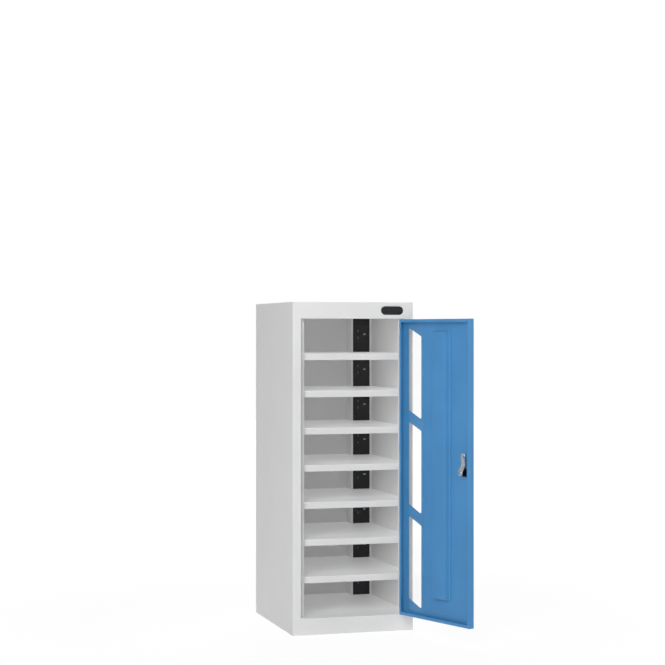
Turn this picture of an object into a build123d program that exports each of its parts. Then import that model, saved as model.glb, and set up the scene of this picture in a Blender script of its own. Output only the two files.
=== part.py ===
from build123d import *
import os

# Laptop charging locker: a folded steel cabinet with shelves, a strip of mains
# sockets in its rear corner and one windowed door with a hooked cam lock.
# Millimetres. X runs to the right, Y to the back and Z up, and the origin is
# on the floor at the middle of the cabinet.

os.makedirs("parts", exist_ok=True)

# Cabinet body
cabinet_width = 380.0
cabinet_depth = 460.0
cabinet_height = 1000.0
sheet = 1.0
bend = 1.5  # outside radius of a fold
post_width = 26.5
header_height = 50.0
plinth_height = 50.0
back_flange = 15.0
weld_flange = 15.0
foot_flange = 18.0
stop_width = 14.0
header_lip = 8.0

# Door
door_depth = 19.0
door_lip = 9.5
lock_gap = 1.8
end_gap = 1.5
stop_gap = 1.0
open_angle = 110.0

# Door windows and their glazing
window_count = 3
window_margin = 24.5  # from the hinge edge of the door
window_width = 60.0
window_drop = 26.5  # how far the slanted ends fall towards the lock
window_bar = 35.0
window_end_margin = 25.5
window_radius = 5.0
glazing_thickness = 2.0
glazing_overlap = 10.0

# Hat section that stiffens the door
hat_crown = 60.0
hat_depth = 16.5
hat_flange = 17.0
hat_top_margin = 35.0
hat_bottom_margin = 63.5
hat_gap = 40.0  # from the glazing to the near flange
hat_bend = 2.0

# Hinges
leaf = 0.8
leaf_gap = 0.4
leaf_depth = 15.0
hinge_length = 60.0
hinge_end_margin = 95.0
knuckle_radius = 3.2
knuckle_gap = 0.3
knuckle_clearance = 0.4
pin_radius = 1.6
pin_play = 0.05
pin_head_radius = 2.6
pin_head = 1.0

# Cam lock
lock_from_edge = 33.0
barrel_radius = 9.5
barrel_flat = 8.0
barrel_flange_radius = 11.5
barrel_flange = 2.0
lock_hole_play = 0.2
plug_radius = 6.5
plug_play = 0.05
key_slot_width = 1.4
key_slot_height = 8.0
key_slot_depth = 9.0
nut_width = 24.0
nut_thickness = 6.0
cam_thickness = 2.5
cam_gap = 0.5
cam_hub_radius = 9.0
cam_reach = 58.0
cam_arm_width = 16.0
cam_offset = 11.0
cam_mouth_height = 6.5
cam_mouth_depth = 8.5
cam_mouth_slope = 25.0
cam_play = 0.3
tang_radius = 4.0
tang_flat = 3.2
screw_head_radius = 5.0
screw_head = 2.0

# Shelves
shelf_count = 7
bottom_bay = 121.5
top_bay = 105.3
shelf_lip = 20.0
shelf_hem = 8.0
shelf_bend = 3.0
shelf_flange = 12.0
shelf_setback = 1.0  # behind the lock when the door is shut
notch_gap = 0.5

# Socket housing in the rear right corner
housing_width = 68.5
housing_depth = 46.0
housing_left_lip = 4.5
housing_right_lip = 7.0
cover_thickness = 2.0
cover_leg = 8.0
cover_hook = 1.2
hook_thickness = 1.5

# Sockets
socket_count = 8
socket_top_margin = 47.5
socket_bottom_margin = 50.3
socket_size = 48.0
socket_gap = 0.3
socket_plate = 6.0
socket_body_width = 38.0
socket_body_height = 42.0
socket_body_depth = 24.0
slot_spacing = 22.2
slot_width = 4.2
slot_length = 6.6
earth_length = 8.2
slot_depth = 4.0
shutter_recess = 1.2
shutter_thickness = 1.2

# Wiring inside the housing
bar_width = 6.0
bar_thickness = 1.5
bar_spacing = 12.0
block_height = 16.0
block_lift = 3.0
block_depth = 14.0

# Cord entry through the back
cord_radius = 4.5
grommet_hole_radius = 8.0
grommet_radius = 11.0
grommet_lip = 2.0
grommet_height = 157.0

# Blank badge on the header
badge_width = 70.0
badge_height = 26.0
badge_thickness = 2.6
badge_edge = 1.2
badge_from_right = 67.0

# Planes and heights that several pieces share
left = -cabinet_width / 2
right = cabinet_width / 2
front = -cabinet_depth / 2
back = cabinet_depth / 2
opening_left = left + post_width
opening_right = right - post_width
opening_bottom = plinth_height
opening_top = cabinet_height - header_height
inner_left = left + sheet
inner_right = right - sheet
panel_back = back - sheet  # outer face of the back panel
inner_back = panel_back - sheet
stop_front = front + door_depth + stop_gap
stop_rear = stop_front + sheet
inner_bend = bend - sheet
post_seam = opening_left - bend  # where header and plinth butt against the flat of the post

hinge_gap = 2 * leaf + leaf_gap
hinge_x = opening_right - hinge_gap / 2
hinge_y = front - knuckle_radius - knuckle_clearance
door_left = opening_left + lock_gap
door_right = opening_right - hinge_gap
door_bottom = opening_bottom + end_gap
door_top = opening_top - end_gap
door_height = door_top - door_bottom
door_middle = (door_top + door_bottom) / 2
skin_inside = front + sheet
door_back = front + door_depth

lock_x = door_left + lock_from_edge
barrel_end = stop_rear + cam_gap - cam_play
cam_front = stop_rear + cam_gap
cam_back = cam_front + cam_thickness
lock_end = cam_back + screw_head
shelf_front = lock_end + shelf_setback

shelf_pitch = (opening_top - opening_bottom - bottom_bay - top_bay) / (shelf_count - 1)
shelf_tops = [opening_bottom + bottom_bay + k * shelf_pitch for k in range(shelf_count)]
housing_left = inner_right - housing_width
housing_front = inner_back - housing_depth
housing_top = cabinet_height - sheet
cover_left = housing_left + housing_left_lip
cover_right = inner_right - housing_right_lip
socket_x = (cover_left + cover_right) / 2
socket_pitch = (opening_top - opening_bottom - socket_top_margin - socket_bottom_margin) / (socket_count - 1)
socket_heights = [opening_top - socket_top_margin - k * socket_pitch for k in range(socket_count)]
socket_back = housing_front + socket_plate + socket_body_depth

# The door stands open, so its pieces are drawn on planes carried round the hinge
door_swing = Pos(hinge_x, hinge_y) * Rot(0, 0, open_angle) * Pos(-hinge_x, -hinge_y)
door_plane = Plane(door_swing)


def door_level(height):
    """A level plane of the shut door at this height, carried round the hinge."""
    return Plane(door_swing * Plane.XY.offset(height).location)


def door_face(y):
    """An upright plane of the shut door at this depth, facing out, carried round the hinge."""
    return Plane(door_swing * Plane.XZ.offset(-y).location)


def block(x, y, z, mode=Mode.ADD):
    """A straight block between pairs of limits, in the piece that is being made."""
    with Locations(((x[0] + x[1]) / 2, (y[0] + y[1]) / 2, (z[0] + z[1]) / 2)):
        Box(x[1] - x[0], y[1] - y[0], z[1] - z[0], mode=mode)


def save(piece, label):
    """Labels a finished piece and writes its file."""
    piece.part.label = label
    export_step(piece.part, f"parts/{label}.step")


# Sides, each folded from one sheet into wall, front post, door stop and rear flange
with BuildPart() as left_side:
    with BuildSketch():
        with BuildLine():
            FilletPolyline(
                (left + back_flange, back),
                (left, back),
                (left, front),
                (opening_left, front),
                (opening_left, stop_front),
                (opening_left + stop_width, stop_front),
                radius=[bend, bend, bend, inner_bend],
            )
            offset(amount=sheet, side=Side.LEFT)
        make_face()
    extrude(amount=cabinet_height)
    fold = (post_seam, opening_left + stop_width)
    block(fold, (front, stop_rear), (0, opening_bottom), mode=Mode.SUBTRACT)
    block(fold, (front, stop_rear), (opening_top, cabinet_height), mode=Mode.SUBTRACT)
    block((inner_left, post_seam), (skin_inside, stop_rear), (housing_top, cabinet_height), mode=Mode.SUBTRACT)
save(left_side, "left_side")

with BuildPart() as right_side:
    mirror(left_side.part, about=Plane.YZ)
save(right_side, "right_side")

# Top, with the header folded down at the front and flanges welded inside the walls
with BuildPart() as top_panel:
    block((inner_left, inner_right), (stop_rear, inner_back), (housing_top, cabinet_height))
    block((inner_left, inner_right), (skin_inside, stop_rear), (housing_top, cabinet_height))
    with BuildSketch(Plane.YZ.offset(post_seam)):
        with BuildLine():
            FilletPolyline(
                (stop_rear, cabinet_height),
                (front, cabinet_height),
                (front, opening_top),
                (stop_front, opening_top),
                (stop_front, opening_top + header_lip),
                radius=bend,
            )
            offset(amount=sheet, side=Side.LEFT)
        make_face()
    extrude(amount=-2 * post_seam)
    flange_run = (stop_rear + weld_flange, housing_front - weld_flange)
    flange_fall = (housing_top - weld_flange, housing_top)
    block((inner_left, inner_left + sheet), flange_run, flange_fall)
    block((inner_right - sheet, inner_right), flange_run, flange_fall)
    block((inner_left, housing_left - notch_gap), (inner_back - sheet, inner_back), flange_fall)
save(top_panel, "top_panel")

# Base, a floor with plinth, skirts and the flanges that the cabinet stands on
with BuildPart() as base_tray:
    with BuildSketch(Plane.XZ.offset(-stop_rear)):
        with BuildLine():
            FilletPolyline(
                (inner_left + foot_flange, 0),
                (inner_left, 0),
                (inner_left, opening_bottom),
                (inner_right, opening_bottom),
                (inner_right, 0),
                (inner_right - foot_flange, 0),
                radius=bend,
            )
            offset(amount=sheet, side=Side.RIGHT)
        make_face()
    extrude(amount=-(inner_back - stop_rear))
    with BuildSketch(Plane.YZ.offset(post_seam)):
        with BuildLine():
            FilletPolyline(
                (stop_rear, opening_bottom),
                (front, opening_bottom),
                (front, 0),
                (stop_front, 0),
                radius=bend,
            )
            offset(amount=sheet, side=Side.LEFT)
        make_face()
    extrude(amount=-2 * post_seam)
    skirt = (inner_left + sheet, inner_right - sheet)
    block(skirt, (inner_back - sheet, inner_back), (0, opening_bottom - sheet))
    block(skirt, (inner_back - foot_flange, inner_back), (0, sheet))
save(base_tray, "base_tray")

# Back, lying inside the folds of the sides
with BuildPart() as back_panel:
    back_span = (inner_left + inner_bend, inner_right - inner_bend)
    block(back_span, (inner_back, panel_back), (0, cabinet_height))
    with BuildSketch(Plane.XZ.offset(-inner_back)):
        with Locations((socket_x, grommet_height)):
            Circle(grommet_hole_radius)
    extrude(amount=-sheet, mode=Mode.SUBTRACT)
save(back_panel, "back_panel")

# Shelves, each with a rounded and hemmed front lip and flanges welded to the walls
for number, shelf_top in enumerate(shelf_tops, start=1):
    with BuildPart() as shelf:
        with BuildSketch(Plane.YZ.offset(inner_left)):
            with BuildLine():
                FilletPolyline(
                    (inner_back, shelf_top),
                    (shelf_front, shelf_top),
                    (shelf_front, shelf_top - shelf_lip),
                    (shelf_front + shelf_hem, shelf_top - shelf_lip),
                    radius=[shelf_bend, bend],
                )
                offset(amount=sheet, side=Side.LEFT)
            make_face()
        extrude(amount=inner_right - inner_left)
        flange_run = (shelf_front + shelf_hem + shelf_flange, housing_front - shelf_flange)
        flange_fall = (shelf_top - shelf_flange, shelf_top - sheet)
        block((inner_left, inner_left + sheet), flange_run, flange_fall)
        block((inner_right - sheet, inner_right), flange_run, flange_fall)
        notch_side = (housing_left - notch_gap, inner_right)
        notch_depth = (housing_front - notch_gap, inner_back)
        block(notch_side, notch_depth, (shelf_top - sheet, shelf_top), mode=Mode.SUBTRACT)
    save(shelf, f"shelf_{number}")

# Socket housing, an upright channel closed by a clipped black cover
with BuildPart() as socket_housing:
    with BuildSketch(Plane.XY.offset(opening_bottom)):
        with BuildLine():
            FilletPolyline(
                (cover_left, housing_front),
                (housing_left, housing_front),
                (housing_left, inner_back),
                (inner_right, inner_back),
                (inner_right, housing_front),
                (cover_right, housing_front),
                radius=bend,
            )
            offset(amount=sheet, side=Side.RIGHT)
        make_face()
    extrude(amount=housing_top - opening_bottom)
    with BuildSketch(Plane.XZ.offset(-(inner_back - sheet))):
        with Locations((socket_x, grommet_height)):
            Circle(grommet_hole_radius)
    extrude(amount=-sheet, mode=Mode.SUBTRACT)
save(socket_housing, "socket_housing")

with BuildPart() as socket_cover:
    with BuildSketch(Plane.XY.offset(opening_bottom)):
        with BuildLine():
            hook_front = housing_front + sheet
            Polyline(
                (socket_x, housing_front),
                (cover_left, housing_front),
                (cover_left, hook_front),
                (cover_left - cover_hook, hook_front),
                (cover_left, hook_front + cover_leg / 2),
                (cover_left, housing_front + cover_leg),
                (cover_left + hook_thickness, housing_front + cover_leg),
                (cover_left + hook_thickness, housing_front + cover_thickness),
                (socket_x, housing_front + cover_thickness),
                close=True,
            )
        make_face()
        mirror(about=Plane.YZ.offset(socket_x))
    extrude(amount=housing_top - opening_bottom)
    with BuildSketch(Plane.XZ.offset(-housing_front)):
        for socket_height in socket_heights:
            with Locations((socket_x, socket_height)):
                Rectangle(socket_size + 2 * socket_gap, socket_size + 2 * socket_gap)
    extrude(amount=-cover_thickness, mode=Mode.SUBTRACT)
save(socket_cover, "socket_cover")


def pin_slots(height):
    """The three pin slots of a socket that is turned on its side, earth to the right."""
    line_x = socket_x - slot_spacing / 2
    with Locations((line_x, height + slot_spacing / 2), (line_x, height - slot_spacing / 2)):
        Rectangle(slot_width, slot_length)
    with Locations((socket_x + slot_spacing / 2, height)):
        Rectangle(earth_length, slot_width)


# Sockets, each a face plate in the cover with the contact block behind it
for number, socket_height in enumerate(socket_heights, start=1):
    with BuildPart() as socket:
        with BuildSketch(Plane.XZ.offset(-housing_front)):
            with Locations((socket_x, socket_height)):
                Rectangle(socket_size, socket_size)
        extrude(amount=-socket_plate)
        with BuildSketch(Plane.XZ.offset(-(housing_front + socket_plate))):
            with Locations((socket_x, socket_height)):
                Rectangle(socket_body_width, socket_body_height)
        extrude(amount=-socket_body_depth)
        with BuildSketch(Plane.XZ.offset(-housing_front)):
            pin_slots(socket_height)
        extrude(amount=-slot_depth, mode=Mode.SUBTRACT)
    save(socket, f"socket_{number}")

with BuildPart() as socket_shutters:
    with BuildSketch(Plane.XZ.offset(-(housing_front + shutter_recess))):
        for socket_height in socket_heights:
            pin_slots(socket_height)
    extrude(amount=-shutter_thickness)
save(socket_shutters, "socket_shutters")

# Bars that carry the current down the backs of the sockets to the terminal block
block_bottom = opening_bottom + block_lift
for name, bar_x in (("live", -bar_spacing), ("neutral", 0.0), ("earth", bar_spacing)):
    with BuildPart() as busbar:
        block(
            (socket_x + bar_x - bar_width / 2, socket_x + bar_x + bar_width / 2),
            (socket_back, socket_back + bar_thickness),
            (block_bottom + block_height / 2, socket_heights[0]),
        )
    save(busbar, f"{name}_busbar")

with BuildPart() as terminal_block:
    block(
        (socket_x - socket_body_width / 2, socket_x + socket_body_width / 2),
        (socket_back - block_depth, inner_back - sheet),
        (block_bottom, block_bottom + block_height),
    )
    for bar_x in (-bar_spacing, 0.0, bar_spacing):
        block(
            (socket_x + bar_x - bar_width / 2, socket_x + bar_x + bar_width / 2),
            (socket_back, socket_back + bar_thickness),
            (block_bottom + block_height / 2, block_bottom + block_height),
            mode=Mode.SUBTRACT,
        )
save(terminal_block, "terminal_block")

with BuildPart() as cord_grommet:
    inside_lip = inner_back - sheet
    with BuildSketch(Plane.XZ.offset(-(inside_lip - grommet_lip))):
        with Locations((socket_x, grommet_height)):
            Circle(grommet_radius)
    extrude(amount=-grommet_lip)
    with BuildSketch(Plane.XZ.offset(-inside_lip)):
        with Locations((socket_x, grommet_height)):
            Circle(grommet_hole_radius)
    extrude(amount=-(panel_back - inside_lip))
    with BuildSketch(Plane.XZ.offset(-panel_back)):
        with Locations((socket_x, grommet_height)):
            Circle(grommet_radius)
    extrude(amount=-grommet_lip)
    with BuildSketch(Plane.XZ.offset(-(inside_lip - grommet_lip))):
        with Locations((socket_x, grommet_height)):
            Circle(cord_radius)
    extrude(amount=-(panel_back - inside_lip + 2 * grommet_lip), mode=Mode.SUBTRACT)
save(cord_grommet, "cord_grommet")

# Plain badge on the right of the header
with BuildPart() as header_badge:
    with BuildSketch(Plane.XZ.offset(-front)):
        with Locations((right - badge_from_right, cabinet_height - header_height / 2)):
            SlotOverall(badge_width, badge_height)
    extrude(amount=badge_thickness)
    chamfer(header_badge.faces().sort_by(Axis.Y)[0].edges(), length=badge_edge)
save(header_badge, "header_badge")

# Door pan: a skin with returns and lips on all four edges and three slanted windows
door_out = Axis(door_face(front).origin, door_face(front).z_dir)
window_run = door_height - 2 * window_end_margin - window_drop
window_height = (window_run - (window_count - 1) * window_bar) / window_count
window_right = door_right - window_margin
window_left = window_right - window_width
window_top = door_top - window_end_margin

with BuildPart(door_plane) as door_pan:
    block((door_left, door_right), (front, door_back), (door_bottom, door_top))
    pan_ends = door_pan.faces().sort_by(door_out)
    fillet(pan_ends[-1].edges() + pan_ends[0].edges(), radius=bend)
    inside_x = (door_left + sheet, door_right - sheet)
    inside_z = (door_bottom + sheet, door_top - sheet)
    block(inside_x, (skin_inside, door_back - sheet), inside_z, mode=Mode.SUBTRACT)
    mouth_x = (door_left + door_lip, door_right - door_lip)
    mouth_z = (door_bottom + door_lip, door_top - door_lip)
    block(mouth_x, (door_back - sheet, door_back), mouth_z, mode=Mode.SUBTRACT)
    with BuildSketch(door_face(front)) as windows:
        for row in range(window_count):
            hinge_top = window_top - row * (window_height + window_bar)
            with BuildLine():
                Polyline(
                    (window_right, hinge_top),
                    (window_left, hinge_top - window_drop),
                    (window_left, hinge_top - window_drop - window_height),
                    (window_right, hinge_top - window_height),
                    close=True,
                )
            make_face()
        fillet(windows.vertices(), radius=window_radius)
    extrude(amount=-sheet, mode=Mode.SUBTRACT)
    with BuildSketch(door_face(front)):
        with Locations((lock_x, door_middle)):
            Circle(barrel_radius + lock_hole_play)
    extrude(amount=-sheet, mode=Mode.SUBTRACT)
save(door_pan, "door_pan")

# Clear sheet bonded behind the windows
glazing_left = window_left - glazing_overlap
with BuildPart(door_plane) as window_glazing:
    with BuildSketch(door_face(skin_inside)):
        with Locations(((window_left + window_right) / 2, door_middle)):
            RectangleRounded(
                window_width + 2 * glazing_overlap,
                door_height - 2 * window_end_margin + 2 * glazing_overlap,
                window_radius,
            )
    extrude(amount=-glazing_thickness)
save(window_glazing, "window_glazing")

# Hat section, between the glazing and the lock
hat_x = glazing_left - hat_gap - hat_flange - hat_crown / 2
with BuildPart(door_plane) as door_stiffener:
    with BuildSketch(door_level(door_bottom + hat_bottom_margin)):
        with BuildLine():
            FilletPolyline(
                (hat_x - hat_crown / 2 - hat_flange, skin_inside),
                (hat_x - hat_crown / 2, skin_inside),
                (hat_x - hat_crown / 2, front + hat_depth),
                (hat_x + hat_crown / 2, front + hat_depth),
                (hat_x + hat_crown / 2, skin_inside),
                (hat_x + hat_crown / 2 + hat_flange, skin_inside),
                radius=[bend, hat_bend, hat_bend, bend],
            )
            offset(amount=sheet, side=Side.LEFT)
        make_face()
    extrude(amount=door_height - hat_bottom_margin - hat_top_margin)
save(door_stiffener, "door_stiffener")

# Hinges: a leaf on the post, a leaf on the door and a headed pin, high and low
knuckle_length = (hinge_length - 2 * knuckle_gap) / 3
leaf_clear = knuckle_radius + 2 * knuckle_clearance
leaf_y = (hinge_y + leaf_clear, front + leaf_depth)


for end, hinge_height in (
    ("top", door_top - hinge_end_margin),
    ("bottom", door_bottom + hinge_end_margin),
):
    hinge_low = hinge_height - hinge_length / 2
    hinge_high = hinge_height + hinge_length / 2
    middle_low = hinge_low + knuckle_length + knuckle_gap
    middle_high = middle_low + knuckle_length

    with BuildPart() as frame_leaf:
        leaf_x = (opening_right - leaf, opening_right)
        for low in (hinge_low, middle_high + knuckle_gap):
            with BuildSketch(Plane.XY.offset(low)):
                with Locations((hinge_x, hinge_y)):
                    Circle(knuckle_radius)
            extrude(amount=knuckle_length)
            block(leaf_x, (hinge_y, leaf_y[0]), (low, low + knuckle_length))
        block(leaf_x, leaf_y, (hinge_low, hinge_high))
        with BuildSketch(Plane.XY.offset(hinge_low)):
            with Locations((hinge_x, hinge_y)):
                Circle(pin_radius)
        extrude(amount=hinge_length, mode=Mode.SUBTRACT)
    save(frame_leaf, f"hinge_frame_leaf_{end}")

    with BuildPart(door_plane) as door_leaf:
        leaf_x = (door_right, door_right + leaf)
        with BuildSketch(door_level(middle_low)):
            with Locations((hinge_x, hinge_y)):
                Circle(knuckle_radius)
        extrude(amount=knuckle_length)
        block(leaf_x, (hinge_y, leaf_y[0]), (middle_low, middle_high))
        block(leaf_x, leaf_y, (hinge_low, hinge_high))
        with BuildSketch(door_level(middle_low)):
            with Locations((hinge_x, hinge_y)):
                Circle(pin_radius + pin_play)
        extrude(amount=knuckle_length, mode=Mode.SUBTRACT)
    save(door_leaf, f"hinge_door_leaf_{end}")

    with BuildPart() as hinge_pin:
        with BuildSketch(Plane.XY.offset(hinge_low)):
            with Locations((hinge_x, hinge_y)):
                Circle(pin_radius)
        extrude(amount=hinge_length)
        with BuildSketch(Plane.XY.offset(hinge_high)):
            with Locations((hinge_x, hinge_y)):
                Circle(pin_head_radius)
        extrude(amount=pin_head)
    save(hinge_pin, f"hinge_pin_{end}")

# Lock barrel with its flange outside and flats along both sides
with BuildPart(door_plane) as lock_barrel:
    with BuildSketch(door_face(front)):
        with Locations((lock_x, door_middle)):
            Circle(barrel_flange_radius)
    extrude(amount=barrel_flange)
    chamfer(lock_barrel.faces().sort_by(door_out)[-1].edges(), length=barrel_flange / 2)
    with BuildSketch(door_face(front)):
        with Locations((lock_x, door_middle)):
            Circle(barrel_radius)
            Rectangle(2 * barrel_flat, 2 * barrel_radius, mode=Mode.INTERSECT)
    extrude(amount=-(barrel_end - front))
    with BuildSketch(door_face(front - barrel_flange)):
        with Locations((lock_x, door_middle)):
            Circle(plug_radius)
    extrude(amount=-(barrel_end - front + barrel_flange), mode=Mode.SUBTRACT)
save(lock_barrel, "lock_barrel")

nut_corner = nut_width / 3**0.5
with BuildPart(door_plane) as lock_nut:
    with BuildSketch(door_face(skin_inside)):
        with Locations((lock_x, door_middle)):
            RegularPolygon(nut_corner, side_count=6)
            Circle(barrel_radius, mode=Mode.SUBTRACT)
    extrude(amount=-nut_thickness)
save(lock_nut, "lock_nut")

# Plug that the key turns, with a flat-sided tang for the cam
with BuildPart(door_plane) as lock_plug:
    with BuildSketch(door_face(front - barrel_flange)):
        with Locations((lock_x, door_middle)):
            Circle(plug_radius - plug_play)
    extrude(amount=-(cam_front - front + barrel_flange))
    with BuildSketch(door_face(cam_front)):
        with Locations((lock_x, door_middle)):
            Circle(tang_radius)
            Rectangle(2 * tang_radius, 2 * tang_flat, mode=Mode.INTERSECT)
    extrude(amount=-cam_thickness)
    with BuildSketch(door_face(front - barrel_flange)):
        with Locations((lock_x, door_middle)):
            Rectangle(key_slot_width, key_slot_height)
    extrude(amount=-key_slot_depth, mode=Mode.SUBTRACT)
save(lock_plug, "lock_plug")

# Hooked cam, standing up when the lock is open and turned to the post when shut
with BuildPart(door_plane) as lock_cam:
    with BuildSketch(door_face(cam_front)):
        arm_x = lock_x - cam_offset
        arm_low = door_middle + cam_hub_radius + cam_offset
        tip = door_middle + cam_reach
        with Locations((lock_x, door_middle)):
            Circle(cam_hub_radius)
        with BuildLine():
            Polyline(
                (lock_x + cam_hub_radius, door_middle),
                (arm_x + cam_arm_width / 2, arm_low),
                (arm_x + cam_arm_width / 2, tip - cam_arm_width / 2),
                (arm_x + cam_arm_width / 4, tip),
                (arm_x - cam_arm_width / 4, tip),
                (arm_x - cam_arm_width / 2, tip - cam_arm_width / 3),
                (arm_x - cam_arm_width / 2, arm_low),
                (lock_x - cam_hub_radius, door_middle),
                close=True,
            )
        make_face()
        mouth_z = tip - cam_arm_width
        with Locations((arm_x - cam_arm_width / 2, mouth_z)):
            SlotOverall(2 * cam_mouth_depth, cam_mouth_height, rotation=-cam_mouth_slope, mode=Mode.SUBTRACT)
    extrude(amount=-cam_thickness)
    with BuildSketch(door_face(cam_front)):
        with Locations((lock_x, door_middle)):
            Circle(tang_radius)
            Rectangle(2 * tang_radius, 2 * tang_flat, mode=Mode.INTERSECT)
    extrude(amount=-cam_thickness, mode=Mode.SUBTRACT)
save(lock_cam, "lock_cam")

with BuildPart(door_plane) as cam_screw:
    with BuildSketch(door_face(cam_back)):
        with Locations((lock_x, door_middle)):
            Circle(screw_head_radius)
    extrude(amount=-screw_head)
    chamfer(cam_screw.faces().sort_by(door_out)[0].edges(), length=screw_head / 3)
save(cam_screw, "cam_screw")

# Places that the record states
lock_axis = door_swing * Pos(lock_x, front, door_middle)
print("hinge axis", round(hinge_x, 4), round(hinge_y, 4))
print("lock axis through", [round(v, 4) for v in lock_axis.position])
print("lock axis direction", [round(v, 6) for v in door_face(front).z_dir])
for number, shelf_top in enumerate([opening_bottom] + shelf_tops, start=1):
    print("bay", number, "floor", round(shelf_top, 3))
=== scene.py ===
# Looks of the laptop locker: powder-coated sheet steel, mains sockets and a chromed cam lock.
# Metres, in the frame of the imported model: X right, Y back, Z up, origin on the floor.
import math

import bpy
import numpy as np
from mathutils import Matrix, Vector


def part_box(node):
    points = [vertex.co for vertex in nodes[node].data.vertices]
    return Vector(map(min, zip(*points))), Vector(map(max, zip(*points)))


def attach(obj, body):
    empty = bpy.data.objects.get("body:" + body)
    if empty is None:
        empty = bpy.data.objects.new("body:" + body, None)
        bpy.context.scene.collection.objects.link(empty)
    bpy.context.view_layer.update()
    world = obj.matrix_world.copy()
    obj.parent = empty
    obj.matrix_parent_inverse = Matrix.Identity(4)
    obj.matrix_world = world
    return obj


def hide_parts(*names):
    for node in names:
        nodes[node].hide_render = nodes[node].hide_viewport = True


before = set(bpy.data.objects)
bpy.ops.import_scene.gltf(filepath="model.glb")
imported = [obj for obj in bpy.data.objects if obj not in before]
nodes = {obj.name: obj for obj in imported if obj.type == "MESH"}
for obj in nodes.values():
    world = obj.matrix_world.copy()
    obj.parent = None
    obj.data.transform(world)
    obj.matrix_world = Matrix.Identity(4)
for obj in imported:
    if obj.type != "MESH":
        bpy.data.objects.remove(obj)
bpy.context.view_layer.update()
socketNames = ["socket_%d" % number for number in range(1, 9)]
mm = 0.001
print("frame loaded:", len(nodes), "nodes")


# The door as it stands at rest, worked out from the shut door in millimetres

hinge = {"x": 162.5, "y": -233.6, "openDegrees": 110.0}
skinFront = -230.0  # outer face of the shut door
steelSheet = 1.0  # thickness of the door's skin and of its stiffener
openTurn = math.radians(hinge["openDegrees"])
doorFrame = {
    "hingeward": np.array([math.cos(openTurn), math.sin(openTurn), 0.0]),
    "outward": np.array([math.sin(openTurn), -math.cos(openTurn), 0.0]),
}


def onDoor(points):
    # Points of the shut door in millimetres, swung about the hinge pins to rest, in metres
    x, y, z = np.moveaxis(np.asarray(points, dtype=float), -1, 0)
    across, inward = x - hinge["x"], y - hinge["y"]
    turnedX = hinge["x"] + across * doorFrame["hingeward"][0] - inward * doorFrame["outward"][0]
    turnedY = hinge["y"] + across * doorFrame["hingeward"][1] - inward * doorFrame["outward"][1]
    return np.stack([turnedX, turnedY, z], axis=-1) * mm


# how far the skin lies along the outward direction
doorFrame["skinReach"] = float(onDoor((0.0, skinFront, 0.0)) @ doorFrame["outward"])


# Colours and shader nodes

def toLinear(hexCode, alpha=1.0):
    # sRGB hex to the linear values that shaders work in
    shares = np.array([int(hexCode[i:i + 2], 16) for i in (0, 2, 4)]) / 255
    linear = np.where(shares <= 0.04045, shares / 12.92, ((shares + 0.055) / 1.055) ** 2.4)
    return (*(float(v) for v in linear), alpha)


def addNode(tree, kind, settings=None, links=None):
    # One shader node: settings go to its own properties or its inputs, links join outputs to its inputs
    node = tree.nodes.new("ShaderNode" + kind)
    for name, value in (settings or {}).items():
        if isinstance(name, str) and hasattr(node, name):
            setattr(node, name, value)
        else:
            node.inputs[name].default_value = value
    for name, output in (links or {}).items():
        tree.links.new(output, node.inputs[name])
    return node


def newMaterial(name):
    # An empty material with its tree and its object coordinates
    material = bpy.data.materials.new(name)
    material.use_nodes = True
    tree = material.node_tree
    tree.nodes.clear()
    coords = addNode(tree, "TexCoord").outputs["Object"]
    return material, tree, coords


def noiseAt(tree, coords, sizeMm, detail, stretch=(1.0, 1.0, 1.0)):
    # Noise whose blobs are about sizeMm wide, drawn out along an axis where stretch is under 1
    mapping = addNode(tree, "Mapping", {"Scale": stretch}, {"Vector": coords})
    settings = {"Scale": 1 / (sizeMm * mm), "Detail": detail, "Roughness": 0.5}
    return addNode(tree, "TexNoise", settings, {"Vector": mapping.outputs["Vector"]}).outputs["Fac"]


# the part of the noise's range that is stretched to the full drift
noiseSpan = {"colour": (0.35, 0.65), "roughness": (0.3, 0.7)}


def drift(tree, pattern, hexes, roughness, roughPattern=None):
    # Links for a colour that drifts between two near shades and a roughness between two levels, as noise does
    ramp = addNode(tree, "ValToRGB", links={"Fac": pattern})
    for element, position, hexCode in zip(ramp.color_ramp.elements, noiseSpan["colour"], hexes):
        element.position = position
        element.color = toLinear(hexCode)
    names = ("From Min", "From Max", "To Min", "To Max")
    settings = dict(zip(names, (*noiseSpan["roughness"], *roughness)))
    level = addNode(tree, "MapRange", settings, {"Value": roughPattern or pattern})
    return {"Base Color": ramp.outputs["Color"], "Roughness": level.outputs["Result"]}


# Materials, named for the real ones and for the painted shade some carry, with their pattern sizes in
# millimetres beside them

powderCoat = {
    "cloud": {"sizeMm": 120.0, "detail": 1.0},  # slow drift in film thickness across a panel
    "peel": {"sizeMm": 3.0, "detail": 1.5},  # orange peel is nearer 1.5 mm, drawn coarser to show
    "peelDepthMm": 0.02,
    "peelStrength": 0.35,
    "roughness": (0.36, 0.46),
}


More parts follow.
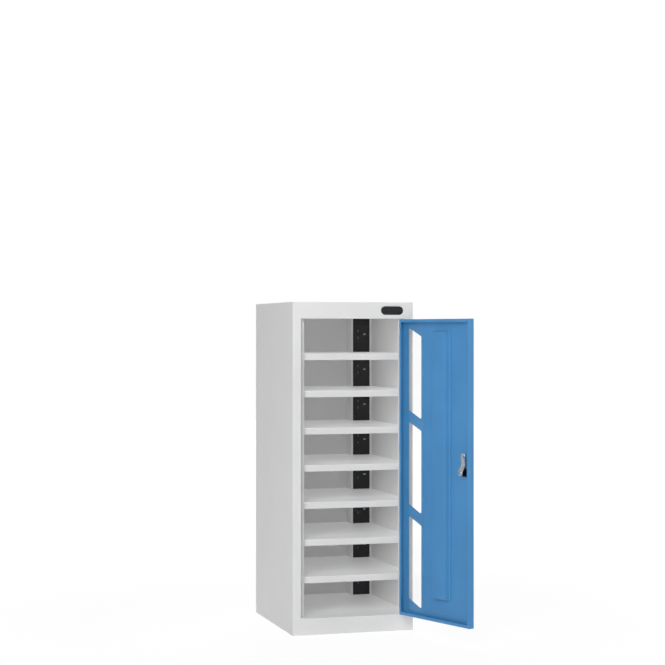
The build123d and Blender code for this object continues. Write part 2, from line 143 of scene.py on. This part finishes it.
def makePowderCoat(name, hexes, bounceHex):
    # Satin polyester powder, sprayed and baked on steel: even colour, faint orange peel, wide sheen
    material, tree, coords = newMaterial(name)
    cloud = noiseAt(tree, coords, **powderCoat["cloud"])
    peel = noiseAt(tree, coords, **powderCoat["peel"])
    relief = {"Strength": powderCoat["peelStrength"], "Distance": powderCoat["peelDepthMm"] * mm}
    bump = addNode(tree, "Bump", relief, {"Height": peel})
    links = drift(tree, cloud, hexes, powderCoat["roughness"], roughPattern=peel)
    # the light it throws on its neighbours is greyer than its own colour, because the photograph shows
    # hardly any cast of one on the other
    isBounce = addNode(tree, "LightPath").outputs["Is Diffuse Ray"]
    shades = {"Fac": isBounce, "Color1": links["Base Color"]}
    mix = addNode(tree, "MixRGB", {"Color2": toLinear(bounceHex)}, shades)
    links["Base Color"] = mix.outputs["Color"]
    links["Normal"] = bump.outputs["Normal"]
    shader = addNode(tree, "BsdfPrincipled", {"IOR": 1.5, "Specular IOR Level": 0.4}, links)
    addNode(tree, "OutputMaterial", links={"Surface": shader.outputs[0]})
    return material


mouldedPlastic = {"grain": {"sizeMm": 1.2, "detail": 3.0}, "grainDepthMm": 0.03, "roughnessDrift": 0.04}


def makeMouldedPlastic(name, hexes, roughness, grainStrength):
    # Injection-moulded ABS or urea from a spark-eroded tool: a fine even grain that breaks up the sheen
    material, tree, coords = newMaterial(name)
    grain = noiseAt(tree, coords, **mouldedPlastic["grain"])
    relief = {"Strength": grainStrength, "Distance": mouldedPlastic["grainDepthMm"] * mm}
    bump = addNode(tree, "Bump", relief, {"Height": grain})
    either = mouldedPlastic["roughnessDrift"]
    links = drift(tree, grain, hexes, (roughness - either, roughness + either))
    links["Normal"] = bump.outputs["Normal"]
    shader = addNode(tree, "BsdfPrincipled", {"IOR": 1.53, "Specular IOR Level": 0.3}, links)
    addNode(tree, "OutputMaterial", links={"Surface": shader.outputs[0]})
    return material


zincPlating = {
    "cloud": {"sizeMm": 9.0, "detail": 3.0},
    "scratch": {"sizeMm": 0.8, "detail": 2.0, "stretch": (1.0, 1.0, 0.15)},
    "scratchDepthMm": 0.02,
    "scratchStrength": 0.08,
    "hexes": ("979A9F", "B2B5B9"),
    "roughness": (0.22, 0.31),
}


def makeZincPlate(name):
    # Bright zinc with a clear passivate: cloudy, slightly blue, with fine barrel-tumbled scratches
    material, tree, coords = newMaterial(name)
    cloud = noiseAt(tree, coords, **zincPlating["cloud"])
    scratch = noiseAt(tree, coords, **zincPlating["scratch"])
    depth = zincPlating["scratchDepthMm"] * mm
    relief = {"Strength": zincPlating["scratchStrength"], "Distance": depth}
    bump = addNode(tree, "Bump", relief, {"Height": scratch})
    links = drift(tree, cloud, zincPlating["hexes"], zincPlating["roughness"])
    links["Normal"] = bump.outputs["Normal"]
    shader = addNode(tree, "BsdfPrincipled", {"Metallic": 1.0}, links)
    addNode(tree, "OutputMaterial", links={"Surface": shader.outputs[0]})
    return material


chromePlating = {
    "haze": {"sizeMm": 4.0, "detail": 3.0},
    "chromed": (("C6C8CC", "D6D8DB"), (0.1, 0.18)),
    # painted shade: the casting behind the door's skin gets a near-black, dull colour that stands in for
    # shade and a dark reflection
    "paintedDarkShade": (("1C1D20", "2A2B2E"), (0.25, 0.4)),
}


def makeChrome(name):
    # Nickel and chrome on a zinc die casting: near mirror, with a trace of polishing haze.
    # Behind the door's skin the casting is painted dark instead: painted shade and a painted dark reflection.
    material, tree, coords = newMaterial(name)
    haze = noiseAt(tree, coords, **chromePlating["haze"])
    links = drift(tree, haze, *chromePlating["chromed"])
    chromed = addNode(tree, "BsdfPrincipled", {"Metallic": 1.0}, links)
    # the near-black copy of the chrome is painted shade and a painted dark reflection, used behind the skin
    links = drift(tree, haze, *chromePlating["paintedDarkShade"])
    paintedDarkShade = addNode(tree, "BsdfPrincipled", {"Metallic": 0.8}, links)
    along = {"operation": "DOT_PRODUCT", 1: tuple(doorFrame["outward"])}
    outward = addNode(tree, "VectorMath", along, {0: coords}).outputs["Value"]
    pastSkin = {"operation": "GREATER_THAN", 1: doorFrame["skinReach"]}
    shown = addNode(tree, "Math", pastSkin, {0: outward})
    sides = {0: shown.outputs[0], 1: paintedDarkShade.outputs[0], 2: chromed.outputs[0]}
    shader = addNode(tree, "MixShader", links=sides)
    addNode(tree, "OutputMaterial", links={"Surface": shader.outputs[0]})
    return material


# painted shade: the nut's near-black colour stands in for the shade and dark reflection on it
nutPaintedShadeLook = {
    "patch": {"sizeMm": 5.0, "detail": 3.0},
    "hexes": ("18191B", "2B2C2E"),
    "roughness": (0.3, 0.45),
}


def makeNutPaintedShade(name):
    # Steel nut coloured near black as painted shade and a painted dark reflection, with a dull sheen and
    # paler patches
    material, tree, coords = newMaterial(name)
    patch = noiseAt(tree, coords, **nutPaintedShadeLook["patch"])
    links = drift(tree, patch, nutPaintedShadeLook["hexes"], nutPaintedShadeLook["roughness"])
    shader = addNode(tree, "BsdfPrincipled", {"Metallic": 0.8}, links)
    addNode(tree, "OutputMaterial", links={"Surface": shader.outputs[0]})
    return material


brassBar = {
    "lines": {"sizeMm": 0.8, "detail": 2.0, "stretch": (1.0, 1.0, 0.02)},
    "tarnish": {"sizeMm": 18.0, "detail": 3.0},
    "lineDepthMm": 0.02,
    "lineStrength": 0.3,
    "hexes": ("A8823F", "D2AF63"),
    "roughness": (0.24, 0.4),
}


def makeBrass(name):
    # Drawn brass bar: fine draw lines along its length and a little brown tarnish
    material, tree, coords = newMaterial(name)
    lines = noiseAt(tree, coords, **brassBar["lines"])
    tarnish = noiseAt(tree, coords, **brassBar["tarnish"])
    relief = {"Strength": brassBar["lineStrength"], "Distance": brassBar["lineDepthMm"] * mm}
    bump = addNode(tree, "Bump", relief, {"Height": lines})
    links = drift(tree, tarnish, brassBar["hexes"], brassBar["roughness"], roughPattern=lines)
    links["Normal"] = bump.outputs["Normal"]
    shader = addNode(tree, "BsdfPrincipled", {"Metallic": 1.0}, links)
    addNode(tree, "OutputMaterial", links={"Surface": shader.outputs[0]})
    return material


pvcRubber = {
    "bloom": {"sizeMm": 6.0, "detail": 4.0},
    "hexes": ("161617", "222223"),
    "roughness": (0.6, 0.8),
}


def makeRubber(name):
    # Moulded black PVC rubber: dull, with a bloom of paler dust
    material, tree, coords = newMaterial(name)
    bloom = noiseAt(tree, coords, **pvcRubber["bloom"])
    links = drift(tree, bloom, pvcRubber["hexes"], pvcRubber["roughness"])
    shader = addNode(tree, "BsdfPrincipled", {"IOR": 1.5}, links)
    addNode(tree, "OutputMaterial", links={"Surface": shader.outputs[0]})
    return material


castAcrylic = {
    "haze": {"sizeMm": 40.0, "detail": 2.0},
    "hexes": ("FCFEFE", "FFFFFF"),
    "roughness": (0.01, 0.03),
    "clearHex": "FBFCFC",
    # a thin flat sheet shifts nothing behind it, so its body has almost no IOR and its coat reflects
    "body": {
        "IOR": 1.02,
        "Transmission Weight": 1.0,
        "Coat Weight": 0.4,
        "Coat IOR": 1.49,
        "Coat Roughness": 0.02,
    },
}


def makeAcrylic(name):
    # Clear cast acrylic sheet: colourless, with a very slight surface haze, and it casts no shadow
    material, tree, coords = newMaterial(name)
    haze = noiseAt(tree, coords, **castAcrylic["haze"])
    links = drift(tree, haze, castAcrylic["hexes"], castAcrylic["roughness"])
    sheet = addNode(tree, "BsdfPrincipled", castAcrylic["body"], links)
    clear = addNode(tree, "BsdfTransparent", {"Color": toLinear(castAcrylic["clearHex"])})
    path = addNode(tree, "LightPath").outputs
    rays = {0: path["Is Shadow Ray"], 1: path["Is Diffuse Ray"]}
    passing = addNode(tree, "Math", {"operation": "MAXIMUM"}, rays)
    sides = {0: passing.outputs[0], 1: sheet.outputs[0], 2: clear.outputs[0]}
    shader = addNode(tree, "MixShader", links=sides)
    addNode(tree, "OutputMaterial", links={"Surface": shader.outputs[0]})
    return material


shutterLook = {
    "earthFrom": 0.156,  # slots to the right of this X, in metres, show the bright earth contact
    "grain": {"sizeMm": 1.2, "detail": 2.0},
    "nylon": (("5B5D60", "66686B"), (0.45, 0.55)),
    "nickel": (("A6A8AA", "B8BABC"), (0.3, 0.4)),
}


def makeShutters(name):
    # Grey nylon shutters behind line and neutral, and the nickelled earth contact beside them
    material, tree, coords = newMaterial(name)
    across = addNode(tree, "SeparateXYZ", links={"Vector": coords}).outputs["X"]
    pastSlots = {"operation": "GREATER_THAN", 1: shutterLook["earthFrom"]}
    isEarth = addNode(tree, "Math", pastSlots, {0: across})
    grain = noiseAt(tree, coords, **shutterLook["grain"])
    links = drift(tree, grain, *shutterLook["nylon"])
    nylon = addNode(tree, "BsdfPrincipled", {"IOR": 1.53}, links)
    links = drift(tree, grain, *shutterLook["nickel"])
    nickel = addNode(tree, "BsdfPrincipled", {"Metallic": 0.4}, links)
    sides = {0: isEarth.outputs[0], 1: nylon.outputs[0], 2: nickel.outputs[0]}
    shader = addNode(tree, "MixShader", links=sides)
    addNode(tree, "OutputMaterial", links={"Surface": shader.outputs[0]})
    return material


whitePaint = makePowderCoat("lightGreyPowderCoat", ("EEEEEE", "F0F0F0"), bounceHex="EFEFEF")
bluePaint = makePowderCoat("bluePowderCoat", ("4A91CC", "4E96D1"), bounceHex="7C8B99")
blackAbs = makeMouldedPlastic("blackMouldedAbs", ("222224", "282829"), 0.42, grainStrength=0.3)
blackSocket = makeMouldedPlastic("blackSocketUrea", ("262628", "2A2A2C"), 0.3, grainStrength=0.15)
badgeAbs = makeMouldedPlastic("blackPolishedAbs", ("131417", "18191C"), 0.16, grainStrength=0.05)
zincPlate = makeZincPlate("brightZincPlate")
chrome = makeChrome("chromedDieCasting")
nutPaintedShadeMaterial = makeNutPaintedShade("nutSteelPaintedShade")
brass = makeBrass("drawnBrassBar")
rubber = makeRubber("blackPvcRubber")
acrylic = makeAcrylic("clearAcrylicSheet")
shutters = makeShutters("greyNylonShutters")

materialOf = {
    whitePaint: ["left_side", "right_side", "top_panel", "base_tray", "back_panel", "socket_housing"]
    + [name for name in nodes if name.startswith("shelf_")],
    bluePaint: ["door_pan", "door_stiffener"],
    blackAbs: ["socket_cover", "terminal_block"],
    blackSocket: socketNames,
    badgeAbs: ["header_badge"],
    # the lock nut is painted near black: painted shade and a painted dark reflection
    nutPaintedShadeMaterial: ["lock_nut"],
    zincPlate: ["lock_cam", "cam_screw"] + [name for name in nodes if name.startswith("hinge_")],
    chrome: ["lock_barrel", "lock_plug"],
    brass: ["live_busbar", "neutral_busbar", "earth_busbar"],
    rubber: ["cord_grommet"],
    acrylic: ["window_glazing"],
    shutters: ["socket_shutters"],
}
for material, names in materialOf.items():
    for name in names:
        nodes[name].material_slots[0].material = material
bare = sorted(set(nodes) - {name for names in materialOf.values() for name in names})
assert not bare, bare
print("materials set on", len(nodes), "nodes")


# Pieces made here, each from a grid of points or from rings of them

sharpAngle = math.radians(35)  # edges that turn more than this are drawn sharp


def addPiece(name, vertices, quads, caps, body, material, replaced=()):
    # A closed mesh at the origin that rides on a body and stands for the replaced CAD nodes
    mesh = bpy.data.meshes.new(name)
    mesh.from_pydata(vertices.reshape(-1, 3).tolist(), [], quads.reshape(-1, 4).tolist() + caps)
    mesh.shade_smooth()
    mesh.set_sharp_from_angle(angle=sharpAngle)
    piece = bpy.data.objects.new(name, mesh)
    bpy.context.scene.collection.objects.link(piece)
    mesh.materials.append(material)
    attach(piece, body)
    if replaced:
        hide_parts(*replaced)
    return piece


def gridQuads(rows, columns, first=0, closed=False):
    # Corner numbers of the quads between neighbouring rows; closed joins the last column to the first
    index = first + np.arange(rows * columns).reshape(rows, columns)
    if closed:
        index = np.hstack([index, index[:, :1]])
    corners = [index[:-1, :-1], index[:-1, 1:], index[1:, 1:], index[1:, :-1]]
    return np.stack(corners, axis=-1).reshape(-1, 4)


def softStep(distance, start, end, rounding):
    # 0 before start, 1 after end and a straight slope between, its corners rounded as a fold is
    def rounded(x):
        return (x + np.sqrt(x ** 2 + rounding ** 2)) / 2
    return (rounded(distance - start) - rounded(distance - end)) / (end - start)


def roundedRings(middle, straight, radii, depths, points):
    # Rings of a rounded rectangle on a face that looks along Y: the corner centres stay put, and each
    # ring has its own corner radius and its own depth
    angle = np.linspace(0, 2 * math.pi, points, endpoint=False)
    radii, depths = (np.asarray(values, dtype=float)[:, None] for values in (radii, depths))
    x = middle[0] + np.where(np.cos(angle) >= 0, straight[0], -straight[0]) + radii * np.cos(angle)
    z = middle[1] + np.where(np.sin(angle) >= 0, straight[1], -straight[1]) + radii * np.sin(angle)
    return np.stack([x, np.broadcast_to(depths, x.shape), z], axis=-1)


def ringFaces(rings, outward=False):
    # Quads between the rings and a flat cap on the first and the last; outward is True where Y falls
    # from the first ring to the last
    count, points = rings.shape[:2]
    quads = gridQuads(count, points, closed=True)
    first, last = list(range(points)), list(range((count - 1) * points, count * points))
    if outward:
        return quads, [first[::-1], last]
    return quads[:, ::-1], [first, last[::-1]]


stiffener = {
    "across": (-58.0, 18.0),
    "up": (115.0, 913.5),
    "flange": (2.5, 1.0),  # beside the slopes, and at the two ends
    "slope": (5.5, 4.0),
    "depth": 15.5,
    "fold": 0.8,
    "fineEdge": 26.0,  # the grid is fine this far in from each edge
    "fineSteps": 40,
}


def makeStiffener():
    # Pressed pan: the height is the depth times a soft step across times a soft step up, and the second
    # face lies one sheet further out, so flange, slopes and crown are one sheet with closed edges
    def positions(low, high):
        edge = np.linspace(0, stiffener["fineEdge"], stiffener["fineSteps"])
        return np.concatenate([low + edge, high - edge[::-1]])

    def rise(places, way):
        start = stiffener["flange"][way]
        inset = np.minimum(places - places[0], places[-1] - places)
        return softStep(inset, start, start + stiffener["slope"][way], stiffener["fold"])

    across, up = positions(*stiffener["across"]), positions(*stiffener["up"])
    height = (stiffener["depth"] - steelSheet) * np.outer(rise(up, 1), rise(across, 0))
    x, z = np.meshgrid(across, up)
    back = onDoor(np.stack([x, skinFront + steelSheet + height, z], axis=-1))
    face = onDoor(np.stack([x, skinFront + 2 * steelSheet + height, z], axis=-1))
    rows, columns = x.shape
    count = rows * columns
    index = np.arange(count).reshape(rows, columns)
    rim = np.concatenate([index[0, :-1], index[:-1, -1], index[-1, :0:-1], index[:0:-1, 0]])
    rimNext = np.roll(rim, -1)
    edges = np.stack([rim, rimNext, rimNext + count, rim + count], axis=-1)
    faceQuads = gridQuads(rows, columns, first=count)
    quads = np.concatenate([gridQuads(rows, columns), faceQuads[:, ::-1], edges[:, ::-1]])
    vertices = np.concatenate([back.reshape(-1, 3), face.reshape(-1, 3)])
    addPiece("doorStiffener", vertices, quads, [], "door", bluePaint, ["door_stiffener"])


glazing = {
    "middle": (107.0, 500.0),
    "straight": (35.0, 428.0),
    "corner": 5.0,
    "faces": (0.15, 2.0),  # inward from the skin's inner face, clear of it by the bond line
    "points": 64,
}


def makeGlazing():
    # One cast sheet, its outline drawn at the face by the skin and again at the other
    depths = [skinFront + steelSheet + depth for depth in glazing["faces"]]
    radii = [glazing["corner"]] * len(depths)
    rings = roundedRings(glazing["middle"], glazing["straight"], radii, depths, glazing["points"])
    quads, caps = ringFaces(rings)
    rings = onDoor(rings)
    sheet = addPiece("windowSheet", rings, quads, caps, "door", acrylic, ["window_glazing"])
    sheet.data.shade_flat()


badge = {
    "middle": (123.0, 975.0),
    "width": 70.0,
    "height": 26.0,
    "front": -230.0,
    "wall": 1.3,
    "thick": 2.6,
    "insetShare": 0.98,  # of half the height, so that the last ring still has a width
    "rings": 14,
    "points": 96,
}


def makeBadge():
    # Domed capsule: each ring is the capsule's outline drawn in by an inset, and its stand-off rises from
    # the wall's height to the full thickness as a quarter ellipse of that inset
    half, straight = badge["height"] / 2, (badge["width"] - badge["height"]) / 2
    angle = np.linspace(0, math.pi / 2, badge["rings"])
    inset = half * badge["insetShare"] * (1 - np.cos(angle))
    standOff = badge["wall"] + (badge["thick"] - badge["wall"]) * np.sin(angle)
    radii = half - np.concatenate([[0.0], inset])
    depths = badge["front"] - np.concatenate([[0.0], standOff])
    rings = roundedRings(badge["middle"], (straight, 0.0), radii, depths, badge["points"])
    quads, caps = ringFaces(rings, outward=True)
    addPiece("headerBadge", rings * mm, quads, caps, "cabinet", badgeAbs, ["header_badge"])


cam = {
    "corners": [  # across and up on the shut door, and the radius there
        (-119.7, 491.0, 8.9), (-119.7, 508.0, 14.0), (-131.7, 522.0, 12.0), (-131.7, 558.0, 5.0),
        (-147.7, 558.0, 5.0), (-147.7, 548.2, 0.8), (-140.5, 551.3, 2.4), (-138.2, 546.2, 2.4),
        (-147.7, 542.2, 0.8), (-147.7, 520.0, 12.0), (-137.7, 503.0, 11.0), (-137.7, 491.0, 8.9),
    ],
    "front": 21.5,
    "back": 24.0,
    "edge": 0.45,  # rounding left by the stamping die
    "arcSteps": 9,
}


def makeCam():
    # Stamped hook: each corner of the outline becomes an arc that touches both its sides, and four rings,
    # two of them drawn in along the outline's normals, make the plate with its edges broken
    corners = np.array(cam["corners"])
    points, radii = corners[:, :2], corners[:, 2:]
    ahead = np.roll(points, -1, axis=0) - points
    ahead /= np.linalg.norm(ahead, axis=1, keepdims=True)
    behind = np.roll(ahead, 1, axis=0)
    turn = np.arccos(np.sum(ahead * behind, axis=1, keepdims=True))
    # 1 at outer corners, which turn left, and -1 at inner ones
    side = np.sign(behind[:, :1] * ahead[:, 1:] - behind[:, 1:] * ahead[:, :1])
    toCentre = (ahead - behind) / np.linalg.norm(ahead - behind, axis=1, keepdims=True)
    centre = points + toCentre * radii / np.cos(turn / 2)
    reach = radii * np.tan(turn / 2)
    start, end = points - behind * reach - centre, points + ahead * reach - centre
    # a spoke turns evenly from start to end as a sine-weighted mix of the two
    share, arc = np.linspace(0, 1, cam["arcSteps"])[None, :, None], turn[:, :, None]
    spoke = np.sin((1 - share) * arc) * start[:, None] + np.sin(share * arc) * end[:, None]
    spoke /= np.sin(arc)
    outline = (centre[:, None] + spoke).reshape(-1, 2)
    normal = (spoke / radii[:, None] * side[:, :, None]).reshape(-1, 2)
    edge, front, back = cam["edge"], cam["front"], cam["back"]
    rings = []
    for inset, depth in ((edge, front), (0.0, front + edge), (0.0, back - edge), (edge, back)):
        ring = outline - inset * normal
        rings.append(np.stack([ring[:, 0], np.full(len(ring), skinFront + depth), ring[:, 1]], axis=-1))
    rings = onDoor(rings)
    quads, caps = ringFaces(rings)
    addPiece("lockCam", rings, quads, caps, "lock_rotor", zincPlate, ["lock_cam"])


camScrew = {
    "across": -128.7,
    "up": 500.0,
    "seat": 24.0,
    "radius": 5.0,
    "middleRadius": 0.05,
    "wall": 0.9,
    "crown": 2.0,
    "crossReach": 2.8,
    "crossHalfWidth": (0.385, 0.715),  # at the bottom of a slot and at its top
    "crossRounding": 0.05,
    "crossDepth": 1.1,
    "rings": 22,
    "points": 72,
}


def makeCamScrew():
    # Pan head: the stand-off is the wall plus a quarter ellipse of the radius, less a cross recess whose
    # four slots fall to full depth at the middle
    whole = camScrew["radius"]
    radius = np.concatenate([[whole], np.linspace(whole, camScrew["middleRadius"], camScrew["rings"])])
    angle = np.linspace(0, 2 * math.pi, camScrew["points"], endpoint=False)
    radii, angles = np.meshgrid(radius, angle, indexing="ij")
    u, v = radii * np.cos(angles), radii * np.sin(angles)
    dome = np.sqrt(np.clip(1 - (radii / whole) ** 2, 0, 1))
    standOff = camScrew["wall"] + (camScrew["crown"] - camScrew["wall"]) * dome
    fromSlot = np.minimum(abs(u), abs(v))
    slot = np.clip(1 - softStep(fromSlot, *camScrew["crossHalfWidth"], camScrew["crossRounding"]), 0, 1)
    fall = np.sqrt(np.clip(1 - radii / camScrew["crossReach"], 0, 1))
    standOff -= camScrew["crossDepth"] * slot * fall
    standOff[0] = 0.0
    y = skinFront + camScrew["seat"] + standOff
    rings = onDoor(np.stack([camScrew["across"] + u, y, camScrew["up"] + v], axis=-1))
    quads, caps = ringFaces(rings)
    addPiece("camScrewHead", rings, quads, caps, "lock_rotor", zincPlate, ["cam_screw"])


# offsets from the socket's edge, and depths behind its face
sealGap = {"clear": 0.02, "wide": 0.28, "front": 0.15, "back": 1.5}


def makeSocketSeals():
    # Soft black gasket round each socket: four loops, each the square outline of the socket drawn out by
    # an offset, joined in a ring so that its section is a closed rectangle
    corner = np.array([(-1, -1), (1, -1), (1, 1), (-1, 1)])
    outer, inner = sealGap["wide"] * mm, sealGap["clear"] * mm
    front, back = sealGap["front"] * mm, sealGap["back"] * mm
    loops = [(outer, back), (outer, front), (inner, front), (inner, back)]
    index = np.arange(len(loops) * len(corner)).reshape(len(loops), len(corner))
    nextLoop, nextCorner = np.roll(index, -1, axis=0), np.roll(index, -1, axis=1)
    nextBoth = np.roll(nextLoop, -1, axis=1)
    ring = np.stack([index, nextCorner, nextBoth, nextLoop], axis=-1).reshape(-1, 4)
    vertices, quads = [], []
    for number, name in enumerate(socketNames):
        low, high = (np.array(c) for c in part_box(name))
        middle, half = (low + high) / 2, (high - low) / 2
        for offset, depth in loops:
            across = middle[0] + corner[:, 0] * (half[0] + offset)
            up = middle[2] + corner[:, 1] * (half[2] + offset)
            vertices.append(np.stack([across, np.full(len(corner), low[1] + depth), up], axis=-1))
        quads.append(ring + number * index.size)
    vertices, quads = np.concatenate(vertices), np.concatenate(quads)
    addPiece("socketSeals", vertices, quads, [], "cabinet", blackAbs)


makeStiffener()
makeGlazing()
makeSocketSeals()
makeBadge()
makeCam()
makeCamScrew()
print("pieces made")


# Studio: white sweep, five soft lamps round the cabinet, a fill overhead and a faint even sky

studio = {
    "skyStrength": 0.06,
    "whiteStrength": 1.0,  # of the background that is seen directly
    "aim": (0.0, 0.0, 0.5),
    # degrees left of straight in front, degrees up, metres away, metres wide, watts, casts a shadow
    "lamps": {
        "keyLamp": (30, 25, 5.5, 2.0, 74, True),
        "lowLamp": (37, 4, 5.5, 2.0, 66, True),
        "rightLamp": (-54, 15, 5.5, 2.5, 42, True),
        "highLamp": (15, 35, 5.5, 2.0, 28, True),
        "rearLamp": (196, 28, 5.5, 3.0, 110, True),
        # reaches into the bays, as the even light in the photograph does
        "overheadFill": (0, 90, 5.5, 3.0, 82, False),
    },
}
sweep = {
    "halfSize": 12.0,
    "drop": 0.0005,
    "paperHex": "F2F2F2",
    "paperShare": 0.14,  # of the lit paper that the camera sees near the object, the rest is white
    "fade": (0.8, 2.6),  # metres from the middle over which that share dies away
    "white": 1.05,  # a touch over white, to make up for the paper's share
}


def seenDirectly(tree):
    # 1 for rays from the camera, a mirror or glass
    path = addNode(tree, "LightPath").outputs
    larger = {"operation": "MAXIMUM"}
    either = addNode(tree, "Math", larger, {0: path["Is Camera Ray"], 1: path["Is Glossy Ray"]})
    anyOf = addNode(tree, "Math", larger, {0: either.outputs[0], 1: path["Is Transmission Ray"]})
    return anyOf.outputs[0]


def makeSky():
    # Faint even sky that lights the object; camera, mirrors and glass see pure white
    world = bpy.data.worlds.new("studioSky")
    bpy.context.scene.world = world
    world.use_nodes = True
    tree = world.node_tree
    tree.nodes.clear()
    dim, white = (
        addNode(tree, "Background", {"Color": (1, 1, 1, 1), "Strength": studio[name]})
        for name in ("skyStrength", "whiteStrength")
    )
    sides = {0: seenDirectly(tree), 1: dim.outputs[0], 2: white.outputs[0]}
    mix = addNode(tree, "MixShader", links=sides)
    addNode(tree, "OutputWorld", links={"Surface": mix.outputs[0]})


def makeFloor():
    # A wide white floor that keeps a faint shadow near the object
    mesh = bpy.data.meshes.new("studioFloor")
    half = sweep["halfSize"]
    corners = [(-half, -half, 0), (half, -half, 0), (half, half, 0), (-half, half, 0)]
    mesh.from_pydata(corners, [], [(0, 1, 2, 3)])
    floor = bpy.data.objects.new("studioFloor", mesh)
    bpy.context.scene.collection.objects.link(floor)
    floor.location.z = -sweep["drop"]
    material, tree, coords = newMaterial("whiteSweepPaper")
    paper = addNode(tree, "BsdfDiffuse", {"Color": toLinear(sweep["paperHex"])})
    glow = addNode(tree, "Emission", {"Color": (1, 1, 1, 1), "Strength": sweep["white"]})
    away = addNode(tree, "VectorMath", {"operation": "LENGTH"}, {0: coords}).outputs["Value"]
    near, far = sweep["fade"]
    span = {"From Min": near, "From Max": far, "To Min": 1 - sweep["paperShare"]}
    fade = addNode(tree, "MapRange", span, {"Value": away}).outputs["Result"]
    share = addNode(tree, "Math", {"operation": "MULTIPLY"}, {0: seenDirectly(tree), 1: fade})
    sides = {0: share.outputs[0], 1: paper.outputs[0], 2: glow.outputs[0]}
    mix = addNode(tree, "MixShader", links=sides)
    addNode(tree, "OutputMaterial", links={"Surface": mix.outputs[0]})
    mesh.materials.append(material)


def makeLamp(name, left, up, away, size, watts, castsShadow):
    # A round soft box that looks at the middle of the cabinet
    turn, rise = math.radians(left), math.radians(up)
    out = Vector((-math.sin(turn) * math.cos(rise), -math.cos(turn) * math.cos(rise), math.sin(rise)))
    data = bpy.data.lights.new(name, "AREA")
    data.shape = "DISK"
    data.size = size
    data.energy = watts
    data.use_shadow = castsShadow
    lamp = bpy.data.objects.new(name, data)
    lamp.location = Vector(studio["aim"]) + away * out
    lamp.rotation_euler = out.to_track_quat("Z", "Y").to_euler()
    bpy.context.scene.collection.objects.link(lamp)


makeSky()
makeFloor()
for lampName, lampSettings in studio["lamps"].items():
    makeLamp(lampName, *lampSettings)
bpy.context.scene.view_settings.view_transform = "Standard"
print("studio ready")


# Camera, fitted to the cabinet's corners in the photograph

camera = {
    "place": (-1.5186, -5.1769, 0.9082),
    "turnDegrees": (90.0, 0.0, -16.367),
    "lensMm": 92.67,
    "sensorMm": 36.0,
    "farthest": 60.0,
}
lens = bpy.data.cameras.new("photoCamera")
lens.lens = camera["lensMm"]
lens.sensor_width = camera["sensorMm"]
lens.clip_end = camera["farthest"]
viewer = bpy.data.objects.new("photoCamera", lens)
viewer.location = camera["place"]
viewer.rotation_euler = [math.radians(angle) for angle in camera["turnDegrees"]]
bpy.context.scene.collection.objects.link(viewer)
bpy.context.scene.camera = viewer
print("camera ready")
